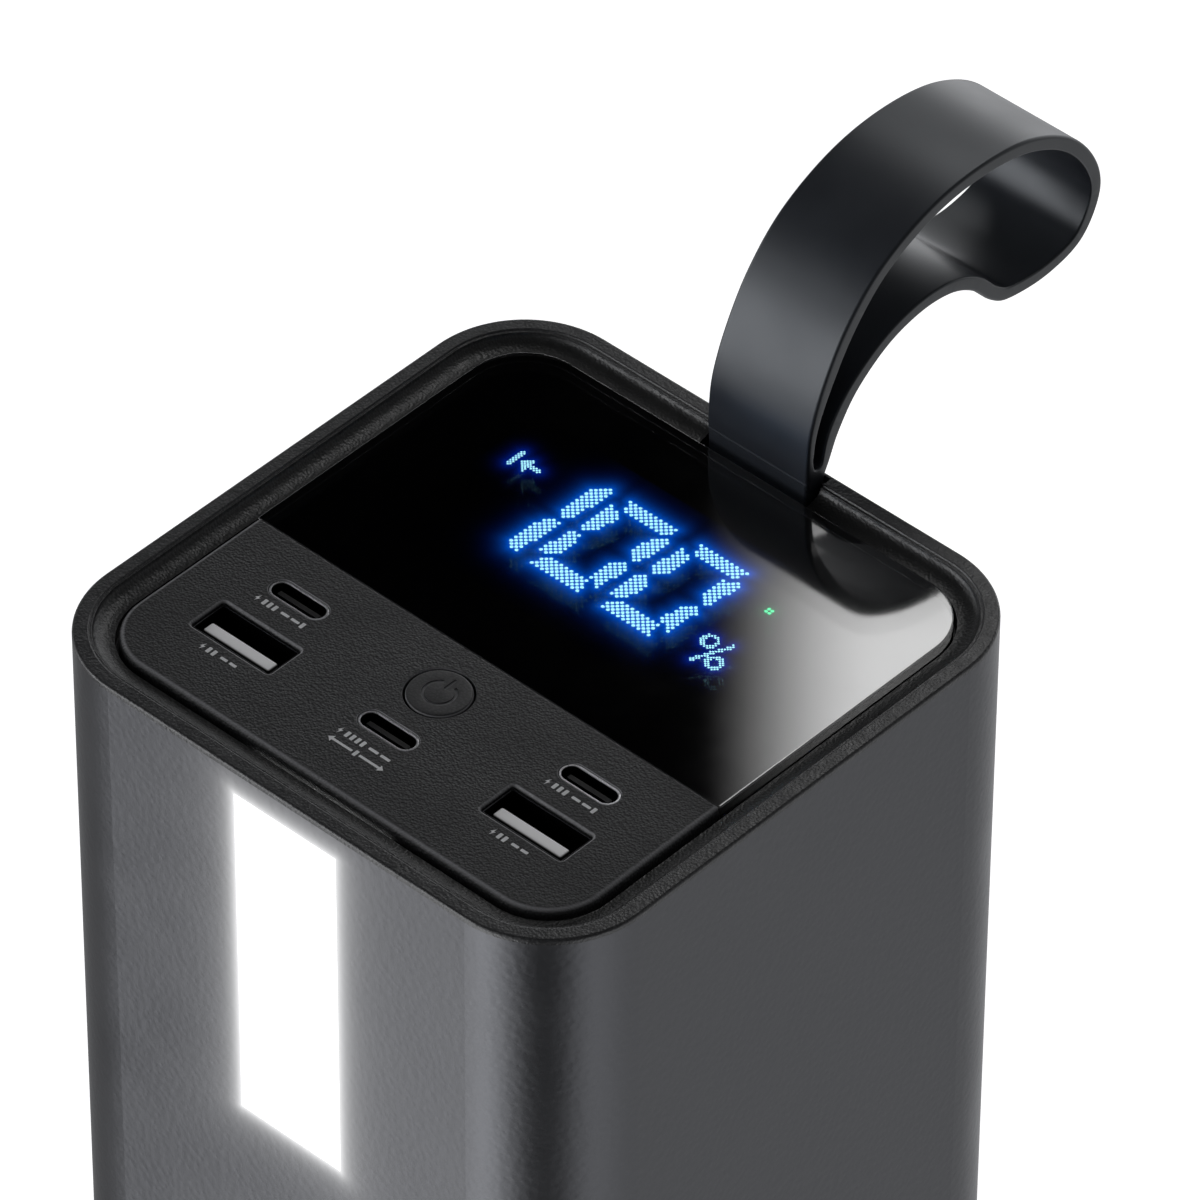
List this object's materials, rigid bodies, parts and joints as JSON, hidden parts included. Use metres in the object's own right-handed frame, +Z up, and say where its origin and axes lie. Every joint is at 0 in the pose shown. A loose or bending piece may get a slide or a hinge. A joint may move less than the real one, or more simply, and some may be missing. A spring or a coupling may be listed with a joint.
{
  "type": "power bank",
  "caption": "Tall square power bank with a rounded metal sleeve, smoked display, charging ports, front lamp, power button and a carrying strap.",
  "frame": {"origin": "centre of the square base, in the plane that the rubber pad stands on", "axes": "+Z up through the top panel, -Y out of the lamp in the front wall, +X to the right when the lamp is seen from in front"},
  "size_m": [0.088, 0.1382, 0.1829],
  "materials": {
    "sleeve": "fine bead-blasted graphite anodising",
    "case_plastic": "fine leather-like grain",
    "lens": "polished smoked acrylic",
    "display_body": "moulded black",
    "figure_light": "lit light guide",
    "status_green": "lit light guide",
    "lamp_white": "opal acrylic, lit",
    "silicone": "satin silicone rubber",
    "foot_rubber": "matt rubber",
    "socket_steel": "drawn, nickel plated",
    "screw_steel": "zinc plated",
    "clamp_steel": "stamped sheet",
    "contact_gold": "gold flash",
    "port_white": "moulded",
    "port_black": "moulded",
    "switch_plastic": "moulded",
    "board": "green solder mask on glass-epoxy",
    "lamp_board": "white solder mask on aluminium",
    "ferrite": "moulded ferrite",
    "capacitor_can": "drawn can",
    "chip": "moulded epoxy",
    "connector": "natural nylon",
    "pouch": "laminated pouch foil",
    "nickel": "nickel strip",
    "foam": "closed-cell foam tape",
    "wire_red": "silicone wire jacket",
    "wire_black": "silicone wire jacket",
    "frame_plastic": "moulded flame-retardant plastic"
  },
  "bodies": {
    "case": {"outer_sleeve": "sleeve", "top_bezel": "case_plastic", "top_plate": "case_plastic", "display_lens": "lens", "display_module": "display_body", "lit_figures": "figure_light", "lit_marks": "figure_light", "status_light": "status_green", "tact_switch": "switch_plastic", "usb_c_shell_left": "socket_steel", "usb_c_shell_middle": "socket_steel", "usb_c_shell_right": "socket_steel", "usb_c_tongue_left": "port_black", "usb_c_tongue_middle": "port_black", "usb_c_tongue_right": "port_black", "usb_a_shell_left": "socket_steel", "usb_a_shell_right": "socket_steel", "usb_a_tongue_left": "port_white", "usb_a_tongue_right": "port_white", "usb_a_contacts": "contact_gold", "main_board": "board", "inductors": "ferrite", "capacitors": "capacitor_can", "controller_chips": "chip", "battery_connector": "connector", "board_screws": "screw_steel", "frame_screws": "screw_steel", "strap_clamp": "clamp_steel", "clamp_screws": "screw_steel", "strap_tail": "silicone", "lamp_diffuser": "lamp_white", "lamp_tray": "port_white", "lamp_board": "lamp_board", "lamp_leds": "lamp_white", "lamp_lead": "wire_red", "cell_1": "pouch", "cell_2": "pouch", "cell_3": "pouch", "cell_4": "pouch", "cell_5": "pouch", "foam_pads": "foam", "cell_tabs": "nickel", "bus_strips": "nickel", "lead_positive": "wire_red", "lead_negative": "wire_black", "protection_board": "board", "chassis_left": "frame_plastic", "chassis_right": "frame_plastic", "bottom_cover": "case_plastic", "bottom_screws": "screw_steel", "base_pad": "foot_rubber"},
    "button": {"power_button": "case_plastic", "switch_plunger": "port_white"},
    "strap": {"strap_loop": "silicone"}
  },
  "joints": [
    {"name": "button_press", "type": "slide", "parent": "case", "child": "button", "axis": [0, 0, -1], "range_m": [0, 0.0005], "stiffness_N_per_m": 3000, "springref_m": -0.0001},
    {"name": "strap_flex", "type": "hinge", "parent": "case", "child": "strap", "pos_m": [0, 0.0414, 0.1506], "axis": [1, 0, 0], "range_deg": [-12, 70], "stiffness_Nm_per_rad": 0.06, "springref_deg": 1.72}
  ]
}
